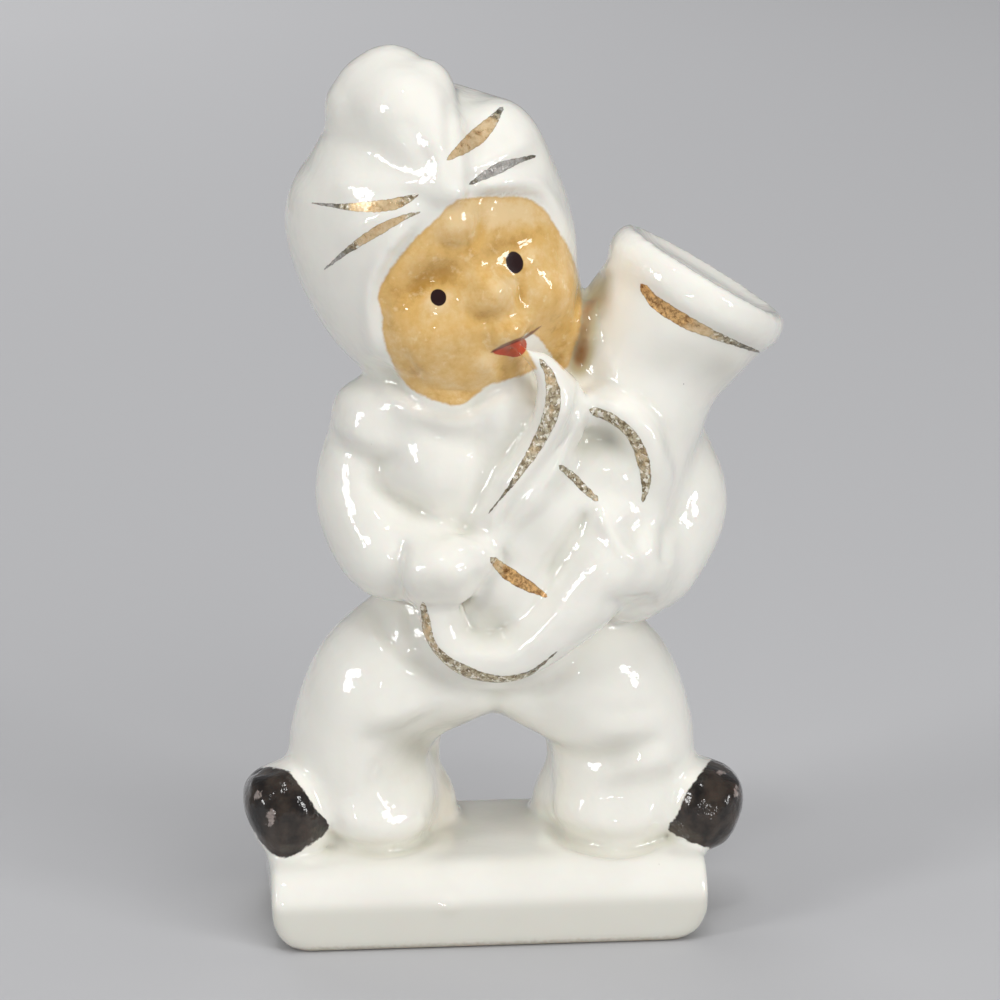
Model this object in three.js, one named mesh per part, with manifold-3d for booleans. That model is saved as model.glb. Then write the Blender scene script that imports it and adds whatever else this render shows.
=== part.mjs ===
// A small glazed porcelain figurine: a child in a turban plays a saxophone, standing with spread
// legs on a bar-shaped base. Figure, instrument and base are moulded as one piece.
// Millimetres, +Z up. The origin is at the middle of the underside, and the figure faces -Y,
// so left and right here are those of someone who looks at its face, and +X is to the right.
import * as THREE from "three";
import { mergeVertices } from "three/addons/utils/BufferGeometryUtils.js";
import Module from "manifold-3d";

const wasm = await Module();
wasm.setup();

// Driving sizes
const FACET = 2.25; // usual edge length of a facet
const BASE = { width: 34, depth: 18, height: 6.5 };
const BASE_ROUNDS = { lowerCorner: 2.8, upperCorner: 1.6, plan: 2.2, front: 3.2, back: 1.5, foot: 0.7 };
const FIGURE_AT = [-0.3, 1.0, -0.27]; // the figure stands a little off the middle of its base
const HEAD = { at: [-3.2, 0.2, 54.4], radii: [10.7, 9.5, 12.9], lean: -20 };
const TURBAN_STEP = 0.45; // how far the turban stands proud of the face
const FACE = { at: [0.2, 51.3], radii: [7.9, 8.2], lean: -22 }; // the turban's window, in X and Z
const PINCH = [-2.3, -9.0, 59.8]; // where the turban's wraps are gathered
const BELL = { mouth: [17.7, -1.2, 52.0], radius: 7.5, dish: 1.3, length: 12.5, lean: 31, back: 2 };
const NECK = 2.1; // radius of the saxophone's neck

const FRONT = new THREE.Vector3(0, -1, 0);
const clamp = THREE.MathUtils.clamp;
const radians = THREE.MathUtils.degToRad;

// How many facets of the usual length a stretch needs
function facets(length, least, most) {
  return clamp(Math.round(length / FACET), least, most);
}

// Moves every vertex of a geometry to the place that a function gives for it
function reshape(geometry, place) {
  const position = geometry.attributes.position;
  const v = new THREE.Vector3();
  for (let i = 0; i < position.count; i++) {
    place(v.fromBufferAttribute(position, i));
    position.setXYZ(i, v.x, v.y, v.z);
  }
  return geometry;
}

// A closed geometry as a solid that can be joined and cut
function solidOf(geometry) {
  geometry.deleteAttribute("normal");
  geometry.deleteAttribute("uv");
  const merged = mergeVertices(geometry, 1e-3);
  return new wasm.Manifold(
    new wasm.Mesh({
      numProp: 3,
      vertProperties: merged.attributes.position.array,
      triVerts: new Uint32Array(merged.index.array),
    }),
  );
}

const join = (solids) => solids.reduce((whole, next) => whole.add(next));

// Soft rises and hollows: each one pushes the skin away from a centre, or towards it
function swell(v, centre, bumps) {
  const away = v.clone().sub(centre).normalize();
  let push = 0;
  for (const { at, reach, rise } of bumps) {
    const far = Math.hypot(v.x - at[0], v.y - at[1], v.z - at[2]);
    push += rise * Math.exp(-((far / reach) ** 2));
  }
  v.addScaledVector(away, push);
}

// An ellipsoid. lean is how far its top tilts towards +X in degrees, boxy over 2 squares it up,
// fine makes its facets smaller, and they are smallest round its pole.
function lump({ at, radii, lean = 0, boxy = 2, bumps = [], fine = 1, pole = [0, -1, 0] }) {
  const around = facets(2 * Math.PI * Math.max(...radii) * fine, 10, 64);
  const sphere = new THREE.SphereGeometry(1, around, Math.max(6, Math.round(around * 0.5)));
  const towards = new THREE.Vector3(...pole).normalize();
  sphere.rotateX(-Math.PI / 2);
  sphere.applyQuaternion(new THREE.Quaternion().setFromUnitVectors(FRONT, towards));
  const pose = new THREE.Euler(0, radians(lean), 0);
  const centre = new THREE.Vector3(...at);
  reshape(sphere, (v) => {
    const power = Math.abs(v.x) ** boxy + Math.abs(v.y) ** boxy + Math.abs(v.z) ** boxy;
    v.multiplyScalar(power ** (-1 / boxy));
    v.set(v.x * radii[0], v.y * radii[1], v.z * radii[2]);
    v.applyEuler(pose).add(centre);
    swell(v, centre, bumps);
  });
  return solidOf(sphere);
}

// A bent, tapered and round-ended form along a smooth path. radii has one radius for each point
// of the path, and flat is its front-to-back thickness as a share of its width.
function limb({ path, radii, flat = 1, bumps = [] }) {
  const points = path.map((p) => new THREE.Vector3(...p));
  const curve = new THREE.CatmullRomCurve3(points, false, "centripetal");
  const widest = Math.max(...radii);
  const around = facets(2 * Math.PI * widest, 9, 36);
  const steps = facets(curve.getLength(), 2, 40);
  const capSteps = facets(widest, 2, 6);
  const widthAt = (t) => {
    const place = t * (radii.length - 1);
    const i = Math.min(Math.floor(place), radii.length - 2);
    const share = THREE.MathUtils.smoothstep(place - i, 0, 1);
    return THREE.MathUtils.lerp(radii[i], radii[i + 1], share);
  };
  const capsule = new THREE.CapsuleGeometry(1, 1, capSteps, around, steps);
  reshape(capsule, (v) => {
    const t = clamp(v.y + 0.5, 0, 1);
    const past = v.y + 0.5 - t;
    const width = widthAt(t);
    const along = curve.getTangent(t);
    const out = FRONT.clone().addScaledVector(along, -along.dot(FRONT)).normalize();
    const side = along.clone().cross(out);
    const across = v.x * width;
    const depth = v.z * width * flat;
    const centre = curve.getPoint(t).addScaledVector(along, past * width);
    v.copy(centre).addScaledVector(side, across).addScaledVector(out, depth);
    swell(v, centre, bumps);
  });
  return solidOf(capsule);
}

// A rounded rectangle, with its own radius at the lower and the upper corners
function roundedOutline(width, low, high, lower, upper) {
  const half = width / 2;
  const shape = new THREE.Shape();
  shape.moveTo(-half + lower, low);
  shape.lineTo(half - lower, low);
  shape.absarc(half - lower, low + lower, lower, -Math.PI / 2, 0);
  shape.lineTo(half, high - upper);
  shape.absarc(half - upper, high - upper, upper, 0, Math.PI / 2);
  shape.lineTo(-half + upper, high);
  shape.absarc(-half + upper, high - upper, upper, Math.PI / 2, Math.PI);
  shape.lineTo(-half, low + lower);
  shape.absarc(-half + lower, low + lower, lower, Math.PI, 1.5 * Math.PI);
  return shape;
}

// The base seen from its end, with a far rounder edge at the front than behind
function endOutline() {
  const { front, back, foot } = BASE_ROUNDS;
  const half = BASE.depth / 2;
  const top = BASE.height;
  const shape = new THREE.Shape();
  shape.moveTo(-half + foot, 0);
  shape.lineTo(half - foot, 0);
  shape.lineTo(half, foot);
  shape.lineTo(half, top - back);
  shape.absarc(half - back, top - back, back, 0, Math.PI / 2);
  shape.lineTo(-half + front, top);
  shape.absarc(-half + front, top - front, front, Math.PI / 2, Math.PI);
  shape.lineTo(-half, foot);
  return shape;
}

// The base is what its front, end and plan outlines have in common
function makeBase() {
  const { width, depth, height } = BASE;
  const { lowerCorner, upperCorner, plan } = BASE_ROUNDS;
  const reach = 3 * width;
  const bar = (outline) => {
    const long = new THREE.ExtrudeGeometry(outline, { depth: reach, bevelEnabled: false, curveSegments: 5 });
    return long.translate(0, 0, -reach / 2);
  };
  const fromFront = bar(roundedOutline(width, 0, height, lowerCorner, upperCorner)).rotateX(Math.PI / 2);
  const fromEnd = bar(endOutline()).rotateX(Math.PI / 2).rotateZ(Math.PI / 2);
  const fromAbove = bar(roundedOutline(width, -depth / 2, depth / 2, plan, plan));
  return solidOf(fromFront).intersect(solidOf(fromEnd)).intersect(solidOf(fromAbove));
}

// Wide trousers that meet at the crotch, with hems that spread backwards through the gap
function makeLegs() {
  const leftLeg = limb({
    path: [
      [-2.0, -0.2, 22.4], [-6.9, -1.2, 19.6], [-9.2, -1.2, 15.4], [-9.3, -1.1, 12.2], [-8.8, -1.0, 10.0],
    ],
    radii: [6.4, 6.1, 5.6, 5.5, 5.6],
    bumps: [
      { at: [-4.6, -6.5, 13.2], reach: 3.4, rise: -1.1 },
      { at: [-4.4, -7.0, 20.4], reach: 2.4, rise: -0.6 },
    ],
  });
  const rightLeg = limb({
    path: [
      [4.6, -0.2, 22.2], [9.3, -1.2, 19.2], [11.3, -1.2, 15.0], [11.4, -1.1, 12.0], [11.4, -1.0, 10.0],
    ],
    radii: [6.4, 6.1, 5.7, 5.5, 5.5],
    bumps: [
      { at: [7.6, -6.4, 14.6], reach: 2.6, rise: -0.6 },
      { at: [10.6, -7.4, 13.2], reach: 2.8, rise: -0.5 },
      { at: [12.6, -7.0, 10.2], reach: 2.4, rise: -0.4 },
    ],
  });
  const leftHem = limb({
    path: [[-6.0, 2.0, 16], [-6.6, 2.6, 11.4], [-5.6, 3.0, 7.6]],
    radii: [3.6, 3.8, 4.3],
  });
  const rightHem = limb({
    path: [[8.6, 2.0, 16], [9.4, 2.6, 11.4], [8.8, 3.0, 7.6]],
    radii: [3.4, 3.6, 4.2],
  });
  return [leftLeg, rightLeg, leftHem, rightHem];
}

// The shoes point outwards past the ends of the base
function makeShoes() {
  const leftToe = lump({ at: [-15.3, -3.2, 9.8], radii: [3.0, 4.0, 3.6], lean: -24, boxy: 3 });
  const leftAnkle = lump({ at: [-13.2, -1.8, 9.6], radii: [3.6, 3.8, 3.4] });
  const rightToe = lump({ at: [17.6, -2.8, 9.3], radii: [3.0, 4.0, 3.3], lean: 20, boxy: 2.8 });
  const rightAnkle = lump({ at: [15, -1.6, 9.4], radii: [3.6, 3.8, 3.4] });
  return [leftToe, leftAnkle, rightToe, rightAnkle];
}

function makeTrunk() {
  const body = limb({
    path: [[0, 0.6, 43], [0.6, 0, 37], [0.6, -0.2, 30], [1.3, 0.2, 24.8]],
    radii: [6.4, 9.2, 8.2, 7.2],
    flat: 0.82,
  });
  const collar = lump({
    at: [-2.4, -1.8, 41.6],
    radii: [6.4, 5.6, 3.8],
    lean: 8,
    bumps: [{ at: [-3.2, -8.2, 39.4], reach: 2.2, rise: -0.6 }],
  });
  const behindHorn = lump({ at: [4.8, -3.0, 33.4], radii: [5.0, 4.6, 11.0], lean: 34 });
  const rightShoulder = lump({ at: [7.6, -0.4, 42.0], radii: [4.8, 4.8, 4.4] });
  const chest = lump({ at: [-2.6, -3.2, 37.6], radii: [5.4, 4.4, 5.2] });
  const besideNeck = lump({ at: [1.4, -4.4, 42.0], radii: [3.4, 3.2, 3.8] });
  return [body, collar, behindHorn, rightShoulder, chest, besideNeck];
}

function makeArms() {
  const leftSleeve = limb({
    path: [[-7.4, -0.4, 40.0], [-8.4, -1.2, 34.8], [-7.2, -4.0, 31.2], [-4.8, -6.2, 30.6]],
    radii: [4.0, 4.3, 4.0, 3.3],
    bumps: [{ at: [-6.4, -4.8, 38.2], reach: 2.0, rise: -0.8 }],
  });
  const leftShoulder = lump({ at: [-7.2, -1.4, 40.8], radii: [4.3, 4.4, 3.2], lean: 14 });
  const leftFist = limb({
    path: [[-4.2, -7.6, 30.2], [-2.6, -8.2, 30.6], [-0.6, -8.8, 31.6]],
    radii: [2.9, 2.8, 1.5],
  });
  const rightSleeve = limb({
    path: [[14.2, 0.6, 38.6], [15.1, -1.4, 33.6], [13.1, -3.6, 29.5], [11.6, -4.8, 28.4]],
    radii: [3.7, 4.4, 4.0, 3.5],
  });
  const rightFist = lump({ at: [11.4, -6.9, 30.6], radii: [3.6, 3.2, 3.7], lean: -12 });
  const thumb = limb({
    path: [[8.6, -7.4, 35.0], [10.0, -8.2, 33.4], [11.6, -8.4, 31.6]],
    radii: [1.7, 2.0, 1.8],
  });
  const finger = limb({ path: [[12.2, -7.2, 34.6], [12.4, -7.8, 32.2]], radii: [1.5, 1.7] });
  const backOfHand = lump({ at: [11.5, -7.0, 33.2], radii: [2.3, 2.1, 2.5] });
  return [leftSleeve, leftShoulder, leftFist, rightSleeve, rightFist, thumb, finger, backOfHand];
}

// The bell is turned with its mouth at the top and then leant over, the horn runs on below it, and
// its flank swells out towards the head
function makeBell() {
  const { mouth, radius, dish, length, lean, back } = BELL;
  const profile = [
    [0, -length], [0.66 * radius, 1 - length], [0.74 * radius, -9], [0.81 * radius, -7], [0.87 * radius, -5],
    [radius - 0.8, -3.8], [radius - 0.35, -3.0], [radius, -2.2], [radius, -1.1], [radius - 0.4, -0.3],
    [radius - 0.9, 0], [radius - 1.5, -0.4], [radius - 2.1, -0.8 * dish], [0, -dish],
  ];
  const bell = new THREE.LatheGeometry(profile.map(([r, h]) => new THREE.Vector2(r, h)), 26);
  bell.rotateX(Math.PI / 2).rotateY(radians(lean)).rotateX(radians(-back)).translate(...mouth);
  const horn = limb({
    path: [[13.6, -1.6, 45.0], [12.4, -2.6, 40.6], [11.8, -4.4, 36.6], [10.8, -6.2, 33]],
    radii: [5.5, 5.0, 3.9, 2.9],
  });
  const flank = lump({ at: [10.7, 0.2, 48.8], radii: [2.5, 3.4, 4.0], lean: 20 });
  const besideCheek = lump({ at: [8.0, -2.4, 47.2], radii: [1.8, 2.2, 2.6] });
  return [solidOf(bell), horn, flank, besideCheek];
}

// The saxophone's pipes in front of the chest: its neck, its bow, the stretch between them, the
// raised ring at the foot of the bell, and the clay that fills the bow and the top of the ring
function makePipes() {
  const neck = limb({
    path: [
      [2.4, -8.8, 47.6], [4.4, -8.8, 46.4], [5.7, -8.4, 43.4], [5.2, -8.0, 40.2], [3.2, -7.8, 37.0],
      [0.8, -7.6, 33.6],
    ],
    radii: [0.4 * NECK, 0.6 * NECK, NECK, NECK, NECK, 0.85 * NECK],
  });
  const bow = limb({
    path: [
      [-3.6, -7.0, 28.8], [-3.6, -7.8, 26.2], [-2.5, -8.2, 24.2], [-0.4, -8.4, 23.1], [2.2, -8.6, 23.5],
      [4.9, -8.6, 25.6], [7.6, -8.4, 28.2], [9.9, -7.8, 31.4],
    ],
    radii: [1.4, 1.5, 1.5, 1.6, 1.9, 2.4, 2.8, 3.0],
  });
  const ring = limb({
    path: [
      [8.0, -6.6, 42.8], [10.0, -7.2, 42.5], [12.0, -7.5, 40.8], [13.0, -7.4, 38.2], [13.0, -7.0, 35.6],
    ],
    radii: [1.1, 1.3, 1.5, 1.5, 1.4],
  });
  const between = limb({
    path: [[8.0, -6.0, 37.8], [5.2, -6.6, 33.2], [1.8, -6.8, 28.4]],
    radii: [2.4, 2.8, 2.6],
  });
  const inRing = lump({ at: [8.8, -5.2, 41.9], radii: [2.4, 2.6, 1.9] });
  const inBow = lump({ at: [0.6, -4.4, 26.2], radii: [3.6, 3.2, 3.4] });
  return [neck, bow, ring, between, inRing, inBow];
}

// The head is an egg with the face's soft forms. The turban is the same egg a little larger, with
// a window for the face, two lobes and the valleys beside its knot.
function makeHead() {
  const { at, radii, lean } = HEAD;
  const egg = lump({
    at,
    radii: radii.map((r) => r - TURBAN_STEP),
    lean,
    fine: 1.5,
    pole: [0.4, -0.85, -0.34],
    bumps: [
      { at: [-4.6, -6.8, 47.4], reach: 3.6, rise: 1.3 }, // left cheek
      { at: [5.4, -6.2, 51.0], reach: 3.0, rise: 1.2 }, // right cheek
      { at: [6.4, -1.6, 48.2], reach: 4.0, rise: 1.6 }, // right jaw
      { at: [1.0, -6.6, 45.8], reach: 2.8, rise: 1.6 }, // chin
      { at: [1.4, -8.0, 49.2], reach: 2.0, rise: 0.8 }, // muzzle
      { at: [-3.8, -9.0, 51.9], reach: 2.1, rise: -0.9 }, // left eye's hollow
      { at: [2.3, -8.6, 54.4], reach: 2.0, rise: -0.8 }, // right eye's hollow
    ],
  });
  const turban = lump({
    at,
    radii,
    lean,
    fine: 1.1,
    bumps: [
      { at: [2.8, -3.4, 64.0], reach: 3.8, rise: 1.5 },
      { at: [-7.6, -7.4, 57.4], reach: 2.4, rise: 0.4 },
      { at: [1.8, -7.6, 60.6], reach: 2.0, rise: 0.4 },
      { at: [-1.6, -1.6, 66.8], reach: 2.6, rise: -1.7 },
      { at: [-2.3, -5.8, 64.2], reach: 2.0, rise: -0.9 },
      { at: [-11.2, -0.6, 62.0], reach: 3.4, rise: -1.6 },
      { at: [-7.4, -5.8, 62.6], reach: 2.4, rise: -0.9 },
      { at: [-13.8, 0.0, 57.0], reach: 5.0, rise: 0.6 },
    ],
  });
  const outline = new THREE.Shape();
  outline.absellipse(0, 0, FACE.radii[0], FACE.radii[1], 0, 2 * Math.PI);
  const opening = new THREE.ExtrudeGeometry(outline, {
    depth: radii[0],
    bevelEnabled: false,
    curveSegments: 24,
  });
  opening.rotateX(Math.PI / 2).rotateY(radians(FACE.lean)).translate(FACE.at[0], -2, FACE.at[1]);
  const lock = lump({ at: [-2.5, -7.8, 57.3], radii: [2.1, 1.4, 2.0] });
  const nose = lump({ at: [0.7, -8.0, 51.6], radii: [1.7, 1.6, 1.4], lean: FACE.lean });
  const lips = lump({ at: [1.5, -7.6, 48.6], radii: [2.0, 1.5, 1.0], lean: FACE.lean });
  return [egg, turban.subtract(solidOf(opening)), lock, nose, lips];
}

// The knot of cloth that rises from the pinch to the crown
function makeTopknot() {
  const knot = limb({
    path: [[-7.0, -0.6, 65.0], [-5.6, -3.2, 64.4], [-3.9, -6.2, 62.2], [-2.7, -8.4, PINCH[2]]],
    radii: [4.2, 4.0, 2.6, 1.3],
  });
  const leftLobe = lump({ at: [-8.7, -0.6, 64.6], radii: [3.0, 3.6, 3.0] });
  const topLobe = lump({ at: [-6.6, -0.6, 66.5], radii: [3.3, 3.2, 3.1] });
  const pleat = limb({
    path: [[-4.2, -2.2, 66.4], [-3.2, -5.4, 64.4], [-2.5, -8.0, 61.4], PINCH],
    radii: [2.4, 1.7, 1.2, 0.9],
  });
  return [knot, leftLobe, topLobe, pleat];
}

const figure = join([
  ...makeLegs(),
  ...makeShoes(),
  ...makeTrunk(),
  ...makeArms(),
  ...makeBell(),
  ...makePipes(),
  ...makeHead(),
  ...makeTopknot(),
]);
const hollowInRing = lump({ at: [9.0, -9.4, 39.4], radii: [2.3, 2.4, 2.4] });
const whole = figure.subtract(hollowInRing).translate(FIGURE_AT).add(makeBase());

const mesh = whole.getMesh();
const geometry = new THREE.BufferGeometry();
geometry.setAttribute("position", new THREE.BufferAttribute(mesh.vertProperties, 3));
geometry.setIndex(new THREE.BufferAttribute(mesh.triVerts, 1));
geometry.computeVertexNormals();

const porcelain = new THREE.MeshStandardMaterial({ color: 0xecebe4, roughness: 0.12, metalness: 0 });
const figurine = new THREE.Mesh(geometry, porcelain);
figurine.name = "figurine";

const model = new THREE.Group();
model.add(figurine);
export default model;
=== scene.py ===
# A small glazed porcelain figurine of a turbaned child with a saxophone, on a bar-shaped base.
# Sizes are in millimetres in the figure's own frame, which stands a little off the base's middle,
# and become metres at the end. Left and right are those of someone who looks at its face.
import math

import bmesh
import bpy
import numpy as np
from mathutils import Matrix, Vector


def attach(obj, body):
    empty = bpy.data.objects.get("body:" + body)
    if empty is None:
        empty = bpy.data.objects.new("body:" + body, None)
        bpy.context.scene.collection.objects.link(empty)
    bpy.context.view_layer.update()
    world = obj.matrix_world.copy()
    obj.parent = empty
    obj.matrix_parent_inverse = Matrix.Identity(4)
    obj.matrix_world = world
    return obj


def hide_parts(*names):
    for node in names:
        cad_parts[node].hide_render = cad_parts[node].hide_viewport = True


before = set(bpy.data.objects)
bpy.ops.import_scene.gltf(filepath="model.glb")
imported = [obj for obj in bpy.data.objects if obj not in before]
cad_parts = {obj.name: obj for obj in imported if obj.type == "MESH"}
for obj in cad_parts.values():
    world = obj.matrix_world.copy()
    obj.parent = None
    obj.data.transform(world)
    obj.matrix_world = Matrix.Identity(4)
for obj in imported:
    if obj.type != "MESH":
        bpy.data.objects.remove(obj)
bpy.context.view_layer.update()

# Driving sizes
MM = 0.001
FACET = 0.75  # edge length of the first rough forms
GRAIN = 0.325  # edge length of the finished skin
BASE = (34.0, 18.0, 6.5)
FIGURE_AT = Vector((-0.3, 1.0, -0.27))
HEAD_AT = Vector((-3.2, 0.2, 54.4))
HEAD_RADII = (10.7, 9.5, 12.9)
HEAD_LEAN = -20
TURBAN_STEP = 0.45
FACE_AT = (0.2, 51.3)
FACE_RADII = (7.9, 8.2)
FACE_LEAN = -22
PINCH = (-2.3, -9.0, 59.8)
BELL_MOUTH = Vector((17.7, -1.2, 52.0))
BELL_RADIUS = 7.5
BELL_LENGTH = 12.5
BELL_DISH = 0.9
BELL_LEAN = 31
BELL_BACK = 2
NECK = 2.1

# The photograph's view
AZIMUTH = -5
ELEVATION = 15
DISTANCE = 330
VIEW_AT = Vector((1.423, 0.0, 33.624))
LENS = 152.9
SENSOR = 36
PICTURE = 1000
FOCAL = LENS / SENSOR * PICTURE
PIXEL = DISTANCE / FOCAL  # millimetres at the figure
FAR_OUT = -40.0  # a distance outside an edge, in pixels, at which nothing is painted
IN_VIEW = 0.02  # how far a place has to face the picture to be painted

TINY = 1e-6


def linked(name, data):
    obj = bpy.data.objects.new(name, data)
    bpy.context.scene.collection.objects.link(obj)
    return obj


# Rough forms


def path_point(points, t):
    """A point of the smooth path through the given points, with t from 0 to 1."""
    place = min(max(t, 0.0) * (len(points) - 1), len(points) - 1 - TINY)
    i = int(place)
    u = place - i
    p1, p2 = points[i], points[i + 1]
    p0 = points[i - 1] if i > 0 else 2 * p1 - p2
    p3 = points[i + 2] if i + 2 < len(points) else 2 * p2 - p1
    d0, d1, d2 = (max((b - a).length, TINY) ** 0.5 for a, b in ((p0, p1), (p1, p2), (p2, p3)))
    start = d1 * ((p1 - p0) / d0 - (p2 - p0) / (d0 + d1) + (p2 - p1) / d1)
    end = d1 * ((p2 - p1) / d1 - (p3 - p1) / (d1 + d2) + (p3 - p2) / d2)
    fall = 2 * p1 - 2 * p2 + start + end
    bend = 3 * p2 - 3 * p1 - 2 * start - end
    return p1 + u * (start + u * (bend + u * fall))


def path_length(points):
    stops = [path_point(points, i / 30) for i in range(31)]
    return sum((b - a).length for a, b in zip(stops, stops[1:]))


def swell(co, centre, bumps):
    """Moves a point away from a centre, or towards it, by soft bumps of (at, reach, rise)."""
    away = (co - centre).normalized()
    push = sum(rise * math.exp(-(((co - Vector(at)).length / reach) ** 2)) for at, reach, rise in bumps)
    return co + away * push


def lump(bm, at, radii, lean=0, boxy=2, bumps=()):
    """An ellipsoid that leans towards +X by some degrees, and that boxy over 2 squares up."""
    around = max(16, round(2 * math.pi * max(radii) / FACET))
    made = bmesh.ops.create_uvsphere(bm, u_segments=around, v_segments=around // 2, radius=1)
    tilt = Matrix.Rotation(math.radians(lean), 3, "Y")
    centre = Vector(at)
    for v in made["verts"]:
        power = sum(abs(c) ** boxy for c in v.co)
        unit = v.co * power ** (-1 / boxy)
        place = centre + tilt @ Vector(u * r for u, r in zip(unit, radii))
        v.co = swell(place, centre, bumps)


def limb(bm, path, radii, flat=1, bumps=()):
    """A bent, tapered, round-ended form: one radius for each point of its path."""
    points = [Vector(p) for p in path]
    around = max(12, round(2 * math.pi * max(radii) / FACET))
    steps = max(4, round(path_length(points) / FACET))
    caps = max(3, round(max(radii) * 1.5 / FACET))
    rings = steps + 2 * caps
    made = bmesh.ops.create_uvsphere(bm, u_segments=around, v_segments=rings, radius=1)
    for v in made["verts"]:
        ring = rings * math.acos(min(1, max(-1, -v.co.z))) / math.pi
        t = min(max((ring - caps) / steps, 0), 1)
        beyond = (ring - caps - t * steps) / caps
        place = min(t * (len(radii) - 1), len(radii) - 1 - TINY)
        i = int(place)
        share = place - i
        share *= share * (3 - 2 * share)
        width = radii[i] + (radii[i + 1] - radii[i]) * share
        along = (path_point(points, t + 0.01) - path_point(points, t - 0.01)).normalized()
        if t < 0.01:
            along = (path_point(points, 0.01) - points[0]).normalized()
        if t > 0.99:
            along = (points[-1] - path_point(points, 0.99)).normalized()
        out = Vector((0, -1, 0))
        out = (out - along * along.dot(out)).normalized()
        side = along.cross(out)
        round_off = math.cos(beyond * math.pi / 2)
        turn = math.atan2(v.co.y, v.co.x)
        centre = path_point(points, t) + along * (width * math.sin(beyond * math.pi / 2))
        across = side * (math.cos(turn) * width * round_off)
        depth = out * (math.sin(turn) * width * round_off * flat)
        v.co = swell(centre + across + depth, centre, bumps)


def spun(bm, profile, at, lean, back):
    """A turned form from a profile of (radius, height), leant over towards +X and then +Y."""
    before = set(bm.verts)
    points = [Vector((r, 0, h)) for r, h in profile]
    count = max(8, round(path_length(points) / FACET))
    line = [bm.verts.new(path_point(points, i / count)) for i in range(count + 1)]
    line[0].co.x = line[-1].co.x = 0
    edges = [bm.edges.new(pair) for pair in zip(line, line[1:])]
    round_z = {"cent": (0, 0, 0), "axis": (0, 0, 1), "angle": 2 * math.pi}
    bmesh.ops.spin(bm, geom=line + edges, steps=56, use_merge=True, **round_z)
    made = [v for v in bm.verts if v not in before]
    bmesh.ops.remove_doubles(bm, verts=made, dist=0.0005)
    made = [v for v in made if v.is_valid]
    turn = Matrix.Rotation(math.radians(-back), 3, "X") @ Matrix.Rotation(math.radians(lean), 3, "Y")
    bmesh.ops.rotate(bm, verts=made, cent=(0, 0, 0), matrix=turn)
    bmesh.ops.translate(bm, verts=made, vec=at)


# Parts of the figure


def add_legs(bm):
    left = [(-2, -0.2, 22.4), (-6.9, -1.2, 19.6), (-9.2, -1.2, 15.4), (-9.3, -1.1, 12.2), (-8.8, -1, 10)]
    dents = [((-4.6, -6.5, 13.2), 3.4, -1.1), ((-4.4, -7.0, 20.4), 2.4, -0.6)]
    limb(bm, left, [6.4, 6.1, 5.6, 5.5, 5.6], bumps=dents)
    right = [(4.6, -0.2, 22.2), (9.3, -1.2, 19.2), (11.3, -1.2, 15), (11.4, -1.1, 12), (11.4, -1, 10)]
    dents = [((7.6, -6.4, 14.6), 2.6, -0.6), ((10.6, -7.4, 13.2), 2.8, -0.5)]
    dents.append(((12.6, -7.0, 10.2), 2.4, -0.4))
    limb(bm, right, [6.4, 6.1, 5.7, 5.5, 5.5], bumps=dents)
    limb(bm, [(-6.0, 2.0, 16), (-6.6, 2.6, 11.4), (-5.6, 3.0, 7.6)], [3.6, 3.8, 4.3])
    limb(bm, [(8.6, 2.0, 16), (9.4, 2.6, 11.4), (8.8, 3.0, 7.6)], [3.4, 3.6, 4.2])


def add_shoes(bm):
    lump(bm, (-15.3, -3.2, 9.8), (3.0, 4.0, 3.6), lean=-24, boxy=3)
    lump(bm, (-13.2, -1.8, 9.6), (3.6, 3.8, 3.4))
    lump(bm, (17.6, -2.8, 9.3), (3.0, 4.0, 3.3), lean=20, boxy=2.8)
    lump(bm, (15, -1.6, 9.4), (3.6, 3.8, 3.4))


def add_trunk(bm):
    spine = [(0, 0.6, 43), (0.6, 0, 37), (0.6, -0.2, 30), (1.3, 0.2, 24.8)]
    limb(bm, spine, [6.4, 9.2, 8.2, 7.2], flat=0.82)
    lump(bm, (-2.4, -1.8, 41.6), (6.4, 5.6, 3.8), lean=8, bumps=[((-3.2, -8.2, 39.4), 2.2, -0.6)])
    lump(bm, (4.8, -3.0, 33.4), (5.0, 4.6, 11.0), lean=34)
    lump(bm, (7.6, -0.4, 42.0), (4.8, 4.8, 4.4))
    lump(bm, (-2.6, -3.2, 37.6), (5.4, 4.4, 5.2))
    lump(bm, (1.4, -4.4, 42.0), (3.4, 3.2, 3.8))


def add_arms(bm):
    left = [(-7.4, -0.4, 40.0), (-8.4, -1.2, 34.8), (-7.2, -4.0, 31.2), (-4.8, -6.2, 30.6)]
    limb(bm, left, [4.0, 4.3, 4.0, 3.3], bumps=[((-6.4, -4.8, 38.2), 2.0, -0.8)])
    lump(bm, (-7.2, -1.4, 40.8), (4.3, 4.4, 3.2), lean=14)
    limb(bm, [(-4.2, -7.6, 30.2), (-2.6, -8.2, 30.6), (-0.6, -8.8, 31.6)], [2.9, 2.8, 1.5])
    right = [(14.2, 0.6, 38.6), (15.1, -1.4, 33.6), (13.1, -3.6, 29.5), (11.6, -4.8, 28.4)]
    limb(bm, right, [3.7, 4.4, 4.0, 3.5])
    lump(bm, (11.4, -6.9, 30.6), (3.6, 3.2, 3.7), lean=-12)
    limb(bm, [(8.6, -7.4, 35.0), (10.0, -8.2, 33.4), (11.6, -8.4, 31.6)], [1.7, 2.0, 1.8])
    limb(bm, [(12.2, -7.2, 34.6), (12.4, -7.8, 32.2)], [1.5, 1.7])
    lump(bm, (11.5, -7.0, 33.2), (2.3, 2.1, 2.5))


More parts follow.
